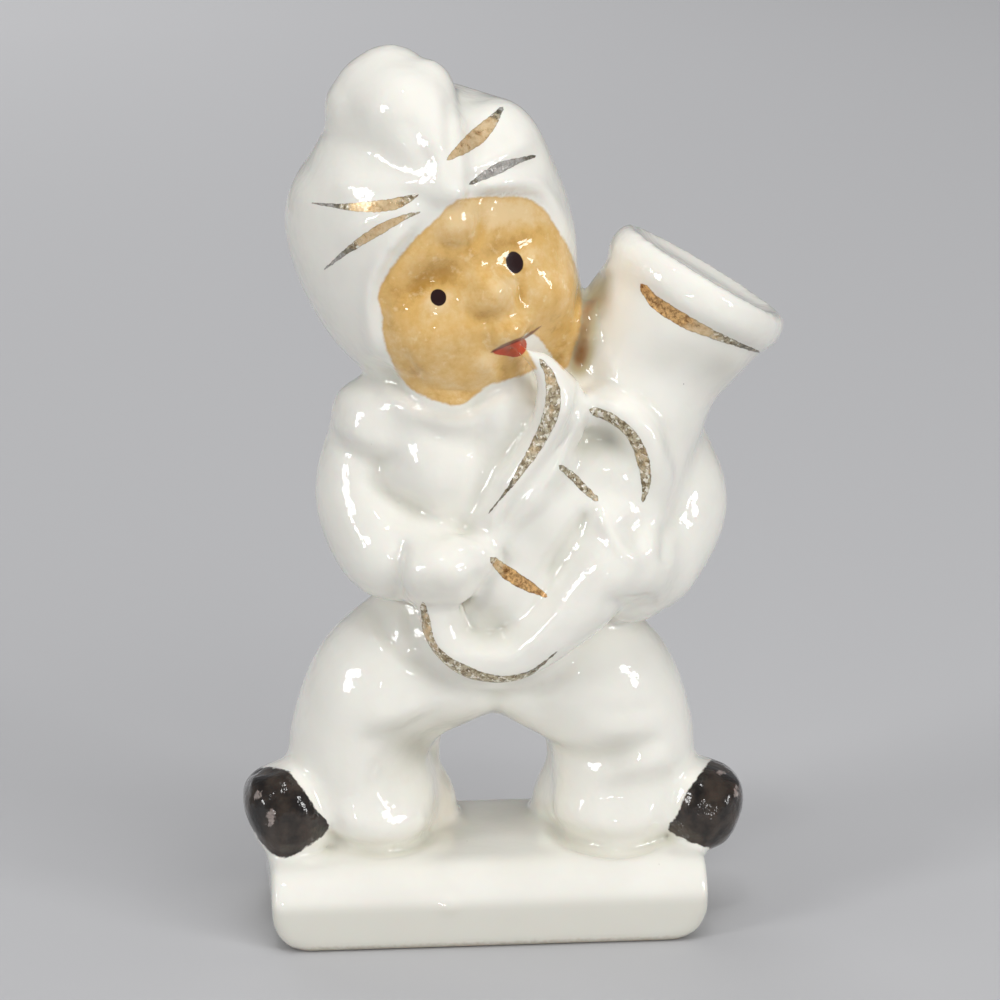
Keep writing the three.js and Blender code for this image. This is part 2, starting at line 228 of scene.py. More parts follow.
def add_bell(bm):
    r = BELL_RADIUS
    foot = [(0, -BELL_LENGTH), (0.66 * r, 1 - BELL_LENGTH)]
    side = [(0.74 * r, -9), (0.81 * r, -7), (0.87 * r, -5)]
    lip = [(r - 0.8, -3.8), (r - 0.35, -3.0), (r, -2.2), (r, -1.1), (r - 0.4, -0.3), (r - 0.9, 0)]
    dish = [(r - 1.5, -0.4), (r - 2.1, -0.8 * BELL_DISH), (0, -BELL_DISH)]
    spun(bm, foot + side + lip + dish, BELL_MOUTH, BELL_LEAN, BELL_BACK)
    throat = [(13.6, -1.6, 45.0), (12.4, -2.6, 40.6), (11.8, -4.4, 36.6), (10.8, -6.2, 33)]
    limb(bm, throat, [5.5, 5.0, 3.9, 2.9])
    lump(bm, (10.7, 0.2, 48.8), (2.5, 3.4, 4.0), lean=20)


def add_pipes(bm):
    neck = [
        (2.4, -8.8, 47.6), (4.4, -8.8, 46.4), (5.7, -8.4, 43.4),
        (5.2, -8.0, 40.2), (3.2, -7.8, 37.0), (0.8, -7.6, 33.6),
    ]
    limb(bm, neck, [0.2 * NECK, 0.5 * NECK, NECK, NECK, NECK, 0.85 * NECK])
    bow = [
        (-3.6, -7.0, 28.8), (-3.6, -7.8, 26.2), (-2.5, -8.2, 24.2), (-0.4, -8.4, 23.1),
        (2.2, -8.6, 23.5), (4.9, -8.6, 25.6), (7.6, -8.4, 28.2), (9.9, -7.8, 31.4),
    ]
    limb(bm, bow, [1.4, 1.5, 1.5, 1.6, 1.9, 2.4, 2.8, 3.0])
    ring = [(8, -6.6, 42.8), (10, -7.2, 42.5), (12, -7.5, 40.8), (13, -7.4, 38.2), (13, -7, 35.6)]
    limb(bm, ring, [1.1, 1.3, 1.5, 1.5, 1.4])
    limb(bm, [(8.0, -6.0, 37.8), (5.2, -6.6, 33.2), (1.8, -6.8, 28.4)], [2.4, 2.8, 2.6])
    lump(bm, (8.8, -5.2, 41.9), (2.4, 2.6, 1.9))
    lump(bm, (8.0, -2.4, 47.2), (1.8, 2.2, 2.6))
    lump(bm, (0.6, -4.4, 26.2), (3.6, 3.2, 3.4))


def add_head(bm):
    """The head with its cheeks, jaw, chin and eye sockets."""
    bumps = [
        ((-4.6, -6.8, 47.4), 3.6, 1.3),
        ((5.4, -6.2, 51.0), 3.0, 1.2),
        ((6.4, -1.6, 48.2), 4.0, 1.6),
        ((1.0, -6.6, 45.8), 2.8, 1.6),
        ((1.4, -8.0, 49.2), 2.0, 0.8),
        ((-3.8, -9.0, 51.9), 2.1, -0.9),
        ((2.3, -8.6, 54.4), 2.0, -0.8),
    ]
    lump(bm, HEAD_AT, [r - TURBAN_STEP for r in HEAD_RADII], lean=HEAD_LEAN, bumps=bumps)
    lump(bm, (-2.5, -7.8, 57.3), (2.1, 1.4, 2.0))
    lump(bm, (0.7, -8.0, 51.6), (1.7, 1.6, 1.4), lean=FACE_LEAN)
    lump(bm, (1.5, -7.6, 48.6), (2.0, 1.5, 1.0), lean=FACE_LEAN)


def in_face_window(x, z):
    """How far inside the turban's window a place on the front is: over 0 inside, under 0 outside."""
    lean = math.radians(FACE_LEAN)
    dx, dz = x - FACE_AT[0], z - FACE_AT[1]
    across = dx * math.cos(lean) - dz * math.sin(lean)
    upward = dx * math.sin(lean) + dz * math.cos(lean)
    away = np.hypot(across / FACE_RADII[0], upward / FACE_RADII[1])
    return (1 - away) * min(FACE_RADII)


def add_turban(bm):
    """The turban is the head's egg a little larger, and sinks below the face inside its window."""
    before = set(bm.verts)
    bumps = [
        ((2.8, -3.4, 64.0), 3.8, 1.5),
        ((-7.6, -7.4, 57.4), 2.4, 0.4),
        ((1.8, -7.6, 60.6), 2.0, 0.4),
        ((-1.6, -1.6, 66.8), 2.6, -1.7),
        ((-2.3, -5.8, 64.2), 2.0, -0.9),
        ((-11.2, -0.6, 62.0), 3.4, -1.6),
        ((-7.4, -5.8, 62.6), 2.4, -0.9),
        ((-13.8, 0.0, 57.0), 5.0, 0.6),
    ]
    lump(bm, HEAD_AT, HEAD_RADII, lean=HEAD_LEAN, bumps=bumps)
    for v in bm.verts:
        if v in before or v.co.y > -2:
            continue
        inside = in_face_window(v.co.x, v.co.z)
        if inside > 0:
            v.co += (HEAD_AT - v.co).normalized() * min(inside * 3, 3)


def add_topknot(bm):
    roll = [(-7.0, -0.6, 65.0), (-5.6, -3.2, 64.4), (-3.9, -6.2, 62.2), (-2.7, -8.4, PINCH[2])]
    limb(bm, roll, [4.2, 4.0, 2.6, 1.3])
    lump(bm, (-8.7, -0.6, 64.6), (3.0, 3.6, 3.0))
    lump(bm, (-6.6, -0.6, 66.5), (3.3, 3.2, 3.1))
    limb(bm, [(-4.2, -2.2, 66.4), (-3.2, -5.4, 64.4), (-2.5, -8.0, 61.4), PINCH], [2.4, 1.7, 1.2, 0.9])


def add_base(bm):
    """The bar: a block with a round front edge, round lower corners and softened ends."""
    width, depth, height = BASE
    block = bmesh.ops.create_cube(bm, size=1)["verts"]
    bmesh.ops.scale(bm, verts=block, vec=BASE)
    bmesh.ops.translate(bm, verts=block, vec=Vector((0, 0, height / 2)) - FIGURE_AT)
    floor = -FIGURE_AT.z
    edges = {e for v in block for e in v.link_edges}
    front, back = (side * depth / 2 - FIGURE_AT.y for side in (-1, 1))

    def lying(edge, axis, value):
        return all(abs(v.co[axis] - value) < 1e-4 for v in edge.verts)

    ends = [side * width / 2 - FIGURE_AT.x for side in (-1, 1)]
    low_ends = [e for e in edges if lying(e, 2, floor) and any(lying(e, 0, x) for x in ends)]
    top_front = [e for e in edges if lying(e, 2, floor + height) and lying(e, 1, front)]
    top_back = [e for e in edges if lying(e, 2, floor + height) and lying(e, 1, back)]
    for picked, radius in ((low_ends, 2.8), (top_front, 3.2), (top_back, 1.5)):
        how = {"segments": 8, "profile": 0.5, "affect": "EDGES", "material": -1, "clamp_overlap": True}
        bmesh.ops.bevel(bm, geom=picked, offset=radius, **how)


def as_object(bm, name):
    mesh = bpy.data.meshes.new(name)
    bm.to_mesh(mesh)
    bm.free()
    return linked(name, mesh)


def rough_figurine():
    bm = bmesh.new()
    body = (add_base, add_legs, add_shoes, add_trunk, add_arms)
    for add_part in (*body, add_bell, add_pipes, add_head, add_turban, add_topknot):
        add_part(bm)
    bmesh.ops.scale(bm, verts=bm.verts, vec=(MM, MM, MM))
    bmesh.ops.recalc_face_normals(bm, faces=bm.faces)
    return as_object(bm, "rough_figurine")


def one_skin(rough):
    """Melts the overlapping forms into a single even skin."""
    remesh = rough.modifiers.new("one skin", "REMESH")
    remesh.mode = "VOXEL"
    remesh.voxel_size = GRAIN * MM
    remesh.adaptivity = 0
    graph = bpy.context.evaluated_depsgraph_get()
    mesh = bpy.data.meshes.new_from_object(rough.evaluated_get(graph))
    bpy.data.objects.remove(rough)
    return linked("figurine_glazed", mesh)


# Sculpting the skin


class Skin:
    """The skin's vertices in millimetres, with their normals and neighbours."""

    def __init__(self, mesh):
        self.mesh = mesh
        count = len(mesh.vertices)
        self.co = np.empty(count * 3, np.float32)
        mesh.vertices.foreach_get("co", self.co)
        self.co = self.co.reshape(-1, 3).astype(float) / MM
        ends = np.empty(len(mesh.edges) * 2, np.int32)
        mesh.edges.foreach_get("vertices", ends)
        self.ends = ends.reshape(-1, 2)
        self.links = np.bincount(ends, minlength=count).astype(float)
        self.normal = None
        self.refresh()

    def refresh(self):
        """Writes the vertices back, and reads the normals that they give."""
        self.mesh.vertices.foreach_set("co", (self.co * MM).astype(np.float32).ravel())
        self.mesh.update()
        normal = np.empty(len(self.co) * 3, np.float32)
        self.mesh.vertex_normals.foreach_get("vector", normal)
        self.normal = normal.reshape(-1, 3).astype(float)

    def mean(self, values, passes=1):
        """Each vertex's mean of its neighbours' values, taken anew in each pass."""
        a, b = self.ends.T
        count = len(self.co)
        for _ in range(passes):
            columns = values.reshape(count, -1).T
            sums = [np.bincount(a, c[b], count) + np.bincount(b, c[a], count) for c in columns]
            values = (np.stack(sums, 1) / self.links[:, None]).reshape(values.shape)
        return values

    def relax(self, passes, weight=1.0):
        """Smooths the skin, more where the weight is near 1."""
        share = 0.5 * np.reshape(weight, (-1, 1))
        for _ in range(passes):
            self.co += (self.mean(self.co) - self.co) * share
        self.refresh()

    def pool(self, passes):
        """Lets glaze gather in the valleys: the skin only moves outwards."""
        for _ in range(passes):
            step = self.mean(self.co) - self.co
            out = np.maximum((step * self.normal).sum(1), 0) * 0.7
            self.co += self.normal * out[:, None]
        self.refresh()

    def push(self, amount):
        self.co += self.normal * amount[:, None]
        self.refresh()

    def stand(self):
        """Keeps the underside flat on the floor."""
        self.co[:, 2] = np.maximum(self.co[:, 2], 0)
        self.refresh()


# What the picture shows, in its own pixels: x to the right and y down, 1000 by 1000


def view_axes(azimuth, elevation):
    a, e = math.radians(azimuth), math.radians(elevation)
    back = Vector((math.sin(a) * math.cos(e), -math.cos(a) * math.cos(e), math.sin(e)))
    right = Vector((math.cos(a), math.sin(a), 0))
    return back, right, back.cross(right)


BACK, RIGHT, UP = (np.array(v) for v in view_axes(AZIMUTH, ELEVATION))


def seen(co):
    """The pixel and the distance at which each point is seen."""
    away = co - np.array(VIEW_AT)
    far = DISTANCE - away @ BACK
    middle = PICTURE / 2
    zoom = FOCAL / far
    return np.stack([middle + away @ RIGHT * zoom, middle - away @ UP * zoom], 1), far


def soft_step(values, low, high):
    t = np.clip((values - low) / (high - low), 0, 1)
    return t * t * (3 - 2 * t)


def smooth_line(points, closed=False, fine=8):
    """A fine polyline through the given points."""
    p = np.array(points, float)
    if len(p) == 2:
        p = np.array([p[0], p.mean(0), p[1]])
    first, last = (p[-1:], p[:2]) if closed else (2 * p[:1] - p[1:2], 2 * p[-1:] - p[-2:-1])
    q = np.concatenate([first, p, last])
    t = (np.arange(fine) / fine)[:, None]
    made = []
    for a, b, c, d in zip(q, q[1:], q[2:], q[3:]):
        bend = 2 * a - 5 * b + 4 * c - d + t * (3 * b - a - 3 * c + d)
        made.append(b + 0.5 * t * (c - a + t * bend))
    return np.concatenate(made + [q[-2:-1]])


def along_line(place, line, run_on=True):
    """For each place: its share of the way along a polyline, and its signed distance across it.

    An open line runs straight on past its ends."""
    steps = np.hypot(*np.diff(line, axis=0).T)
    total = np.concatenate([[0], np.cumsum(steps)])
    best = np.full(len(place), np.inf)
    share = np.zeros(len(place))
    across = np.zeros(len(place))
    for i, (a, b) in enumerate(zip(line, line[1:])):
        edge = (b - a) / steps[i]
        rel = place - a
        t = rel @ edge
        if i > 0 or not run_on:
            t = np.maximum(t, 0)
        if i < len(steps) - 1 or not run_on:
            t = np.minimum(t, steps[i])
        off = rel - t[:, None] * edge
        side = edge[0] * rel[:, 1] - edge[1] * rel[:, 0]
        far = np.hypot(*off.T)
        nearer = far < best
        best[nearer] = far[nearer]
        share[nearer] = ((total[i] + t) / total[-1])[nearer]
        across[nearer] = (np.sign(side) * far)[nearer]
    return share, across


def close_to(place, line, reach):
    """The places inside a polyline's own box and some reach around it."""
    return np.nonzero(((place > line.min(0) - reach) & (place < line.max(0) + reach)).all(1))[0]


def inside_by(place, points):
    """How far inside a smooth closed outline each place is, under 0 outside."""
    line = smooth_line(points, closed=True, fine=5)
    found = np.full(len(place), FAR_OUT)
    near = close_to(place, line, -FAR_OUT)
    place = place[near]
    _, across = along_line(place, line, run_on=False)
    x, y = place.T
    crossings = np.zeros(len(place), int)
    for (ax, ay), (bx, by) in zip(line, line[1:]):
        if ay != by:
            crossings += ((ay > y) != (by > y)) & (x < ax + (y - ay) / (by - ay) * (bx - ax))
    found[near] = np.where(crossings % 2 == 1, 1, -1) * np.abs(across)
    return found


def leant(place, middle, lean=0):
    """The places' way across and up from a middle, in axes that lean by some degrees."""
    a = math.radians(lean)
    x, y = (place - middle).T
    return x * math.cos(a) - y * math.sin(a), x * math.sin(a) + y * math.cos(a)


def dabbed(place, dabs):
    """The sum of soft dabs of (strength, middle, reach) or (strength, middle, reach, lean)."""
    total = np.zeros(len(place))
    for strength, middle, (wide, high), *lean in dabs:
        across, up = leant(place, middle, *lean)
        total += strength * np.exp(-((across / wide) ** 2) - (up / high) ** 2)
    return total


# Soft folds and hollows: name, depth in mm (under 0) or height, width in pixels, and the line
FOLDS = [
    ("knot's right valley", -0.40, 8, [(453, 96), (449, 118), (450, 150), (458, 184)]),
    ("knot's right ridge", 0.22, 9, [(432, 80), (439, 115), (443, 150), (450, 176)]),
    ("knot's middle valley", -0.22, 10, [(405, 118), (418, 145), (430, 166)]),
    ("knot's left valley", -0.10, 10, [(331, 139), (356, 144), (386, 151)]),
    ("fan fold above", 0.30, 9, [(470, 172), (498, 158), (530, 140)]),
    ("fan fold between", -0.22, 6, [(466, 182), (500, 170), (540, 158)]),
    ("fan fold below", 0.22, 7, [(468, 188), (505, 182), (545, 182)]),
    ("fan fold left above", 0.25, 10, [(425, 186), (380, 182), (335, 190)]),
    ("fan fold left between", 0.25, 9, [(428, 204), (385, 216), (340, 240)]),
    ("brim groove right", -0.40, 5, [(474, 197), (500, 194), (528, 196), (545, 208)]),
    ("brim groove left", -0.40, 6, [(420, 232), (400, 254), (386, 278), (381, 305), (384, 335)]),
    ("brim edge left", 0.35, 8,
     [(412, 222), (391, 245), (374, 275), (369, 305), (373, 340), (385, 368)]),
    ("brim edge right", 0.25, 7, [(476, 186), (505, 184), (535, 186), (556, 210), (566, 240)]),
    ("lock's edge", -0.48, 4, [(479, 206), (480, 228), (471, 244), (455, 250), (437, 244)]),
    ("left eye socket", -0.38, 11, [(408, 300), (416, 284), (432, 275), (450, 266), (466, 260)]),
    ("bridge of the nose", 0.40, 11, [(474, 276), (490, 284), (503, 294)]),
    ("nose's right crease", -0.40, 4, [(518, 280), (521, 292), (520, 304)]),
    ("under the nose", -0.40, 5, [(464, 309), (473, 318), (486, 320), (497, 316)]),
    ("mouth", -0.22, 5, [(488, 353), (500, 351), (518, 344), (530, 336), (541, 325)]),
    ("smile's end", -0.25, 5, [(492, 334), (483, 342), (484, 354)]),
    ("chin crease", -0.30, 4, [(498, 357), (500, 366), (505, 374)]),
    ("jaw crease", -0.25, 5, [(404, 352), (409, 365), (421, 380)]),
    ("under the jaw", -0.55, 7,
     [(380, 362), (396, 386), (426, 405), (458, 411), (490, 394), (515, 385)]),
    ("collar's lower fold", -0.24, 9, [(414, 427), (440, 438), (468, 441), (491, 430)]),
    ("collar's roll", 0.12, 10, [(385, 396), (410, 408), (445, 420), (475, 420)]),
    ("shoulder fold", -0.32, 8, [(328, 436), (348, 450), (376, 463), (402, 457)]),
    ("shoulder fold's roll", 0.15, 9, [(335, 424), (360, 434), (386, 446)]),
    ("forearm crease", -0.40, 9, [(366, 478), (386, 494), (408, 504), (428, 512)]),
    ("chest hollow by the horn", -0.22, 10, [(484, 448), (476, 480), (472, 510)]),
    ("neck pipe's left roll", 0.25, 8, [(528, 440), (514, 464), (498, 486)]),
    ("hollow over the fingertips", -0.28, 9, [(452, 526), (470, 528), (490, 530)]),
    ("cuff crease", -0.50, 7, [(401, 540), (396, 562), (395, 586), (401, 602)]),
    ("left hand's ridge", 0.30, 7, [(446, 538), (465, 543), (486, 552)]),
    ("left finger lines", -0.18, 4, [(462, 592), (472, 582), (478, 570)]),
    ("neck pipe's right groove", -0.75, 5.5,
     [(581, 392), (579, 412), (569, 434), (547, 464), (514, 506), (496, 540)]),
    ("neck pipe's left edge", -0.12, 8, [(524, 400), (516, 430), (498, 462), (482, 490)]),
    ("panel's ridge", 0.30, 11, [(552, 496), (532, 525), (516, 556)]),
    ("panel's right edge", -0.45, 7, [(590, 510), (572, 535), (556, 560), (548, 580)]),
    ("ring's outer edge", -0.22, 6, [(598, 396), (622, 392), (648, 402), (667, 430), (670, 470)]),
    ("ring's rise", 0.12, 9, [(598, 404), (622, 410), (644, 428), (655, 454), (652, 486)]),
    ("thumb's ridge", 0.42, 5.5, [(600, 512), (610, 532), (624, 552), (642, 562)]),
    ("second finger's ridge", 0.25, 6, [(648, 528), (651, 542), (649, 556)]),
    ("between the fingers", -0.25, 10, [(624, 522), (632, 534), (640, 546)]),
    ("right cuff crease", -0.40, 5, [(666, 524), (667, 542), (664, 562)]),
    ("under the right hand", -0.28, 9, [(604, 600), (630, 607), (656, 602)]),
    ("bow's ridge", 0.30, 6, [(470, 655), (508, 657), (536, 640), (566, 606)]),
    ("bow's outer edge", -0.45, 7,
     [(408, 606), (414, 640), (440, 678), (488, 698), (540, 688), (576, 656)]),
    ("hip crease", -0.55, 8, [(372, 604), (384, 630), (402, 652), (424, 672)]),
    ("left hem's foot", -0.50, 6, [(322, 832), (346, 845), (383, 851), (417, 844), (440, 826)]),
    ("left hem's roll", 0.50, 13, [(340, 814), (366, 826), (396, 827), (422, 812)]),
    ("right hem's foot", -0.50, 6, [(546, 816), (562, 837), (592, 848), (628, 851), (666, 838)]),
    ("right hem's roll", 0.50, 13, [(566, 806), (592, 822), (626, 826), (656, 812)]),
    ("left hem's hollow", -0.30, 14, [(370, 775), (398, 780), (425, 776)]),
    ("right knee fold", -0.40, 10, [(545, 745), (570, 756), (610, 757), (662, 742)]),
    ("right knee's roll", 0.30, 11, [(512, 704), (540, 728), (580, 738), (640, 728)]),
    ("right knee's upper fold", -0.15, 11, [(590, 712), (625, 712), (660, 706)]),
    ("right calf's hollow", -0.25, 13, [(600, 794), (635, 786), (668, 778)]),
    ("right calf's roll", 0.20, 12, [(590, 776), (635, 768), (672, 760)]),
    ("left knee's crease", -0.30, 8, [(362, 742), (392, 738), (424, 724), (444, 712)]),
    ("left knee's roll", 0.20, 9, [(366, 722), (396, 716), (424, 704)]),
    ("horn's lip", 0.14, 8, [(646, 272), (676, 296), (712, 316), (756, 334)]),
    ("under the horn's lip", -0.18, 7, [(642, 292), (670, 314), (700, 330), (730, 344), (762, 356)]),
    ("between cheek and horn", -0.60, 5, [(584, 284), (582, 305), (579, 330), (574, 350), (572, 366)]),
    ("left shoe's edge", 0.30, 6, [(252, 780), (265, 800), (277, 824), (284, 850)]),
    ("left shoe's top edge", 0.22, 5, [(252, 782), (274, 780), (294, 774)]),
    ("right shoe's edge", 0.25, 6, [(738, 778), (728, 800), (712, 826), (700, 842)]),
]

# Soft bumps (over 0) and dents: name, height in mm, middle, reach across and up in pixels,
# and lean where it isn't 0
DABS = [
    ("left eye socket", -0.28, (440, 281), (26, 15), 25),
    ("right eye socket", -0.10, (516, 240), (26, 15), 25),
    ("left eyeball", 0.35, (437, 301), (13, 11), 25),
    ("right eyeball", 0.34, (526, 262), (16, 13), 25),
    ("left cheek", 0.45, (440, 334), (34, 24), 25),
    ("jaw", 0.45, (444, 386), (36, 13), 10),
    ("right cheek", 0.40, (554, 291), (17, 22)),
    ("upper lip", 0.45, (510, 329), (20, 13), 25),
    ("nose tip", 0.20, (490, 301), (15, 12)),
    ("chin bump", 0.35, (488, 364), (11, 10)),
    ("lock", 0.20, (457, 224), (20, 20)),
    ("pinch", 0.30, (442, 182), (18, 14)),
    ("below the pinch", 0.28, (430, 193), (14, 9), -30),
    ("chest", 0.35, (438, 476), (24, 26)),
    ("shoulder", 0.25, (362, 440), (22, 14), -20),
    ("fingertip dimple", -0.18, (487, 533), (9, 8)),
    ("dish in the ring", -0.50, (584, 446), (24, 22)),
    ("dish's floor", 0.28, (612, 474), (22, 18)),
    ("recess in the bow", 0.55, (470, 609), (18, 16)),
    ("left fist", 0.40, (440, 572), (34, 24), 10),
    ("right hand", 0.45, (618, 576), (32, 22)),
    ("beside the thumb", -0.50, (643, 528), (16, 22)),
    ("left thigh's hollow", -0.60, (428, 748), (30, 26), 30),
    ("right hem's flare", 0.45, (556, 806), (14, 20)),
    ("seam bump", 0.45, (607, 268), (7, 6)),
    ("front bump", 0.25, (449, 907), (8, 6)),
]

# Places that the fingers wiped smooth before firing: strength, middle, reach and any lean
WIPED = [
    (1.0, (634, 526), (24, 18)),
    (1.0, (672, 572), (13, 34)),
    (1.0, (462, 527), (30, 9), 8),
    (1.0, (518, 348), (15, 9)),
    (1.0, (548, 374), (22, 26)),
    (1.0, (574, 386), (14, 22)),
    (0.9, (640, 604), (26, 14)),
    (1.0, (480, 626), (34, 30)),
    (1.0, (370, 150), (44, 22), -14),
    (1.0, (424, 178), (20, 16)),
    (0.8, (490, 298), (24, 20)),
    (0.8, (600, 404), (22, 16)),
    (0.7, (360, 430), (34, 26)),
    (1.0, (430, 775), (12, 44), 8),
    (1.0, (553, 790), (12, 40), -6),
]


def shown(skin):
    """Each vertex's pixel and distance, and how far it faces the picture, 0 where something hides it."""
    cell_size = 8
    across = PICTURE // cell_size
    hidden_at = 2.5
    place, far = seen(skin.co)
    column, row = np.clip((place // cell_size).astype(int), 0, across - 1).T
    cell = column * across + row
    nearest = np.full(across * across, np.inf)
    np.minimum.at(nearest, cell, far)
    front = skin.mean((far < nearest[cell] + hidden_at).astype(float), 7)
    return place, far, soft_step(front, 0.15, 0.85) * soft_step(skin.normal @ BACK, -0.05, 0.35)


def sculpt(skin):
    """Works the folds and dents into what the picture shows of the skin."""
    place, _, front = shown(skin)
    skin.relax(60, np.clip(dabbed(place, WIPED), 0, 1) * (front > 0))
    place, _, front = shown(skin)
    rise = np.zeros(len(place))
    for _, height, width, points in FOLDS:
        line = smooth_line(points)
        near = close_to(place, line, 3 * width)
        share, across = along_line(place[near], line)
        ends = soft_step(share, -0.12, 0.15) * soft_step(1 - share, -0.12, 0.15)
        rise[near] += height * ends * np.exp(-((across / width) ** 2))
    rise += dabbed(place, [dab[1:] for dab in DABS])
    skin.push(rise * front)


figurine = one_skin(rough_figurine())
skin = Skin(figurine.data)
skin.relax(4)
skin.pool(14)
skin.relax(3)
skin.co += np.array(FIGURE_AT)
skin.stand()
sculpt(skin)
skin.relax(3)
skin.stand()
figurine.data.polygons.foreach_set("use_smooth", [True] * len(figurine.data.polygons))
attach(figurine, "root")
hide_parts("figurine")


# Paint, in the picture's pixels

# Gold strokes: name, wear along it (0 rich gold, 0.4 pale, 0.8 mottled grey, 1 dark, 1.4 silver),
# the middle line, and the widths along it
GOLD = [
    ("turban right upper", [0.35, 0.30, 0.30, 0.35, 1.4],
     [(448, 159), (459, 151), (473, 140), (488, 126), (502, 108)],
     [4, 13, 18, 13, 4]),
    ("turban right lower", [1.2, 1.4, 1.4, 1.3, 1.1],
     [(470, 184), (482, 177), (497, 169), (514, 162), (535, 156)],
     [3, 9, 11, 6, 3]),
    ("turban left upper", [1.35, 1.3, 0.35, 0.30, 0.45, 0.8],
     [(312, 203), (338, 206), (360, 207), (380, 206), (398, 203), (417, 195)],
     [1.5, 4, 9, 12, 12, 4]),
    ("turban left lower", [1.35, 1.3, 0.45, 0.30, 0.42, 0.9],
     [(325, 269), (347, 251), (366, 238), (386, 226), (405, 217), (420, 212)],
     [1.5, 5, 9, 11, 7, 2]),
    ("neck pipe", [0.75, 0.55, 0.75, 0.65, 0.75, 0.6, 0.75, 0.9, 1.0, 1.1],
     [(541, 361), (549, 374), (553, 392), (552, 410), (545, 429),
      (535, 448), (523, 467), (512, 484), (500, 499), (489, 513)],
     [5, 11, 16, 16, 14, 12, 9, 5, 2.5, 1.5]),
    ("panel upper", [0.95, 0.8, 0.75, 0.6],
     [(561, 467), (572, 476), (584, 488), (596, 499)],
     [6, 8, 8, 6]),
    ("ring", [0.8, 0.8, 0.75, 0.7, 0.6, 0.7, 0.8],
     [(593, 411), (609, 417), (627, 430), (638, 446), (644, 466), (646, 484), (643, 501)],
     [9, 10, 10, 12, 13, 10, 4]),
    ("panel lower", [0.7, -0.1, 0.0, 0.1],
     [(493, 560), (506, 572), (525, 584), (546, 596)],
     [8, 14, 12, 4]),
    ("bow", [0.8, 0.5, 0.65, 0.8, 0.8, 0.8, 0.85, 1.0, 1.1],
     [(423, 605), (426, 622), (430, 642), (442, 658), (462, 670),
      (484, 678), (505, 680), (530, 673), (558, 651)],
     [6, 10, 11, 12, 12, 10, 7, 3, 1.5]),
    ("bell", [0.0, 0.0, 0.1, 0.45, 0.95, 1.0],
     [(643, 287), (654, 301), (671, 313), (694, 326), (727, 340), (759, 352)],
     [9, 14, 14, 10, 6, 2.5]),
]

SKIN = [
    (476, 197), (500, 196), (527, 198), (543, 208), (553, 221), (561, 234), (568, 246), (575, 262),
    (580, 284), (582, 304), (580, 330), (574, 350), (568, 366), (556, 374), (540, 369), (524, 375),
    (505, 381), (488, 386), (470, 400), (456, 406), (432, 400), (411, 389), (398, 375), (391, 360),
    (385, 345), (382, 330), (382, 316), (378, 300), (380, 286), (389, 271), (402, 253), (418, 235),
    (436, 219), (448, 206), (460, 199),
]

SHOES = [
    [
        (236, 785), (246, 770), (268, 767), (288, 771), (299, 784), (309, 797), (316, 810),
        (328, 822), (325, 834), (306, 848), (286, 858), (268, 850), (248, 822),
    ],
    [
        (668, 829), (679, 812), (683, 799), (691, 786), (702, 771), (714, 758), (740, 758),
        (752, 790), (748, 825), (728, 850), (702, 846), (684, 839),
    ],
]

# Behind, the black ends on these egg shapes: middle and radii
HEELS = [((-15.0, -2.9, 9.9), (4.3, 4.9, 4.4)), ((17.2, -2.6, 9.5), (4.3, 4.7, 4.2))]

# The two dots: middle, half width and half height in pixels, lean
EYES = [((438.4, 297.4), (8.0, 8.6), 20), ((514.5, 262.4), (8.6, 11.2), 16)]

MOUTH = [
    (491, 353), (501, 347), (512, 343), (523, 338), (527, 343),
    (526, 350), (522, 355), (516, 357.5), (506, 356),
]
# The white mouthpiece over the tan
MOUTHPIECE = [
    (523, 342), (528, 334), (538, 338), (547, 350), (556, 362),
    (564, 374), (552, 384), (541, 374), (531, 356),
]
# The dark line between the lips: its points and its widths
MOUTH_LINE = ([(490, 353), (501, 347), (513, 342), (527, 336), (541, 326)], [2, 3.4, 3.6, 3.4, 1.5])

# Darker tan (over 0) and lighter tan (under 0): strength, middle, reach and any lean. The darker dabs in
# the sockets, under the nose and in the creases are partly gathered paint and partly painted shade; the
# lighter dabs where the face is lit, on the forehead, lock, nose, chin and by the eyes, are painted
# light
TAN_POOLS_SHADE_AND_LIGHT = [
    (0.9, (438, 276), (26, 13), 28),
    (0.6, (416, 290), (12, 18)),
    (0.8, (516, 241), (24, 9), 5),
    (0.5, (492, 252), (12, 9), 30),
    (0.7, (482, 315), (13, 6), 10),
    (0.6, (521, 293), (4, 12)),
    (0.5, (392, 290), (9, 34), 20),
    (0.4, (556, 322), (16, 18)),
    (0.5, (416, 372), (9, 12), -30),
    (0.5, (504, 367), (6, 9)),
    (0.4, (488, 338), (10, 8)),
    (0.5, (455, 252), (22, 5)),
    (0.5, (480, 232), (4, 16)),
    (-0.7, (500, 212), (38, 12)),
    (-0.6, (434, 302), (15, 10)),
    (-0.5, (530, 250), (10, 7)),
    (-0.5, (488, 362), (10, 9)),
    (-0.4, (460, 222), (14, 12)),
    (-0.4, (505, 288), (14, 9)),
]
# Painted reflection of the tan face on the horn beside the cheek, darkening to painted shade where cheek
# and horn meet
FACE_REFLECTION_ON_HORN = [
    (0.9, (584, 334), (15, 32), -8),
    (0.5, (596, 292), (12, 22), -20),
    (0.4, (579, 362), (10, 14)),
]
# Painted shadow, in brown, in the groove under the turban's brim and behind the left hem
SHADES = [(0.8, (502, 194), (28, 2.4)), (0.5, (447, 800), (14, 40))]
